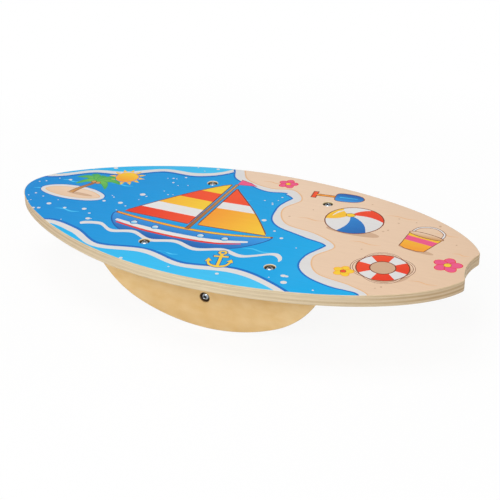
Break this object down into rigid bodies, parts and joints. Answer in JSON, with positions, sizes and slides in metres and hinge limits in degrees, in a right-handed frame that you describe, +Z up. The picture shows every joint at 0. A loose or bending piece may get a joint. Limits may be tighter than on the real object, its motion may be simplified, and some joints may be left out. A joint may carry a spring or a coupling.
{
  "type": "balance board",
  "caption": "Surfboard-shaped plywood balance board on curved half-moon rockers; a rider stands on the printed deck and rocks it from nose to tail.",
  "frame": {"origin": "middle of the length and of the width, at floor level under the rockers with the deck level", "axes": "+X from the nose to the tail, +Z up out of the deck, +Y to the right of a rider who faces the nose"},
  "size_m": [0.624, 0.312, 0.101],
  "materials": {
    "deck_plywood": "clear-lacquered birch plywood, the upper face printed in colour",
    "rocker_plywood": "clear-lacquered birch plywood",
    "bar_wood": "clear-lacquered hardwood dowel",
    "zinc_steel": "bright zinc plate",
    "nut_steel": "zinc plate"
  },
  "bodies": {
    "root": {"deck": "deck_plywood", "rocker_left": "rocker_plywood", "rocker_right": "rocker_plywood", "cross_bar": "bar_wood", "deck_bolt_nose_left": "zinc_steel", "deck_bolt_nose_right": "zinc_steel", "deck_bolt_tail_left": "zinc_steel", "deck_bolt_tail_right": "zinc_steel", "rocker_nut_nose_left": "nut_steel", "rocker_nut_nose_right": "nut_steel", "rocker_nut_tail_left": "nut_steel", "rocker_nut_tail_right": "nut_steel", "bar_bolt_left": "zinc_steel", "bar_bolt_right": "zinc_steel", "bar_nut_left": "nut_steel", "bar_nut_right": "nut_steel"}
  },
  "joints": []
}
